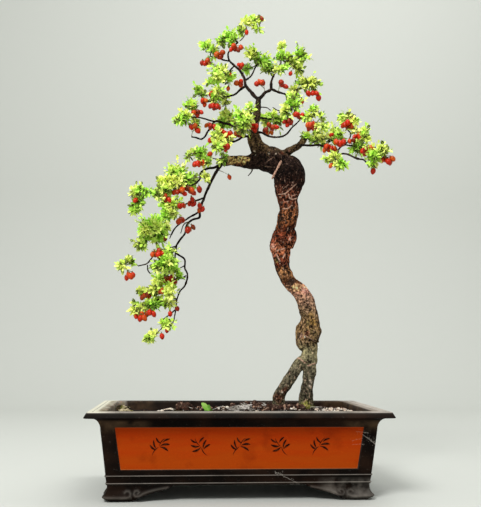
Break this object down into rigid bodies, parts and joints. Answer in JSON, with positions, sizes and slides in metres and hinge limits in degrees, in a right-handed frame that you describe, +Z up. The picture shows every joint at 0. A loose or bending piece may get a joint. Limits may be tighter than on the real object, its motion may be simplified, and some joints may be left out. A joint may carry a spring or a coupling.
{
  "type": "goji berry bonsai",
  "caption": "Cascading goji berry bonsai with a twisted trunk, leafy sprays and hanging red berries, planted in a rectangular footed clay pot.",
  "frame": {"origin": "middle of the pot's footprint, on the surface that the pot stands on", "axes": "+Z up the tree, +X along the pot towards the trunk's side, -Y out of the pot's front panel"},
  "size_m": [0.4047, 0.24, 0.7012],
  "materials": {
    "dark_clay": "matte",
    "black_mesh": "matte",
    "soil": "matte",
    "bark": "matte",
    "leaf": "satin",
    "seedling_leaf": "satin",
    "berry": "gloss"
  },
  "bodies": {
    "root": {"berries_back": "berry", "berries_back_left": "berry", "berries_crown_far_left": "berry", "berries_crown_middle": "berry", "berries_crown_right": "berry", "berries_crown_top": "berry", "berries_fall_back": "berry", "berries_fall_far": "berry", "berries_fall_low": "berry", "berries_fall_lowest": "berry", "berries_fall_outer": "berry", "berries_fall_shoulder": "berry", "berries_fall_side": "berry", "berries_front": "berry", "berries_left_inside": "berry", "berries_left_shelf": "berry", "berries_left_tip": "berry", "berries_low_left": "berry", "berries_low_right": "berry", "berries_right_end": "berry", "berries_right_high": "berry", "berries_right_low": "berry", "berries_right_middle": "berry", "berries_right_shoulder": "berry", "berries_right_upper": "berry", "berries_stub": "berry", "drain_screen_left": "black_mesh", "drain_screen_right": "black_mesh", "pot": "dark_clay", "seedling": "seedling_leaf", "soil": "soil", "spray_back_left_pad": "leaf", "spray_back_pad": "leaf", "spray_fall_back": "leaf", "spray_fall_far": "leaf", "spray_fall_inner": "leaf", "spray_fall_low": "leaf", "spray_fall_lowest": "leaf", "spray_fall_mid": "leaf", "spray_fall_out": "leaf", "spray_fall_shoulder": "leaf", "spray_fall_tip": "leaf", "spray_front_pad": "leaf", "spray_left_far": "leaf", "spray_left_shoulder": "leaf", "spray_left_under": "leaf", "spray_right_high": "leaf", "spray_right_inner": "leaf", "spray_right_low": "leaf", "spray_right_mid": "leaf", "spray_right_pad": "leaf", "spray_right_shoulder": "leaf", "spray_right_tip": "leaf", "spray_right_under": "leaf", "spray_top": "leaf", "spray_top_left": "leaf", "spray_upper_centre": "leaf", "spray_upper_left": "leaf", "spray_upper_right": "leaf", "tree": "bark"}
  },
  "joints": []
}
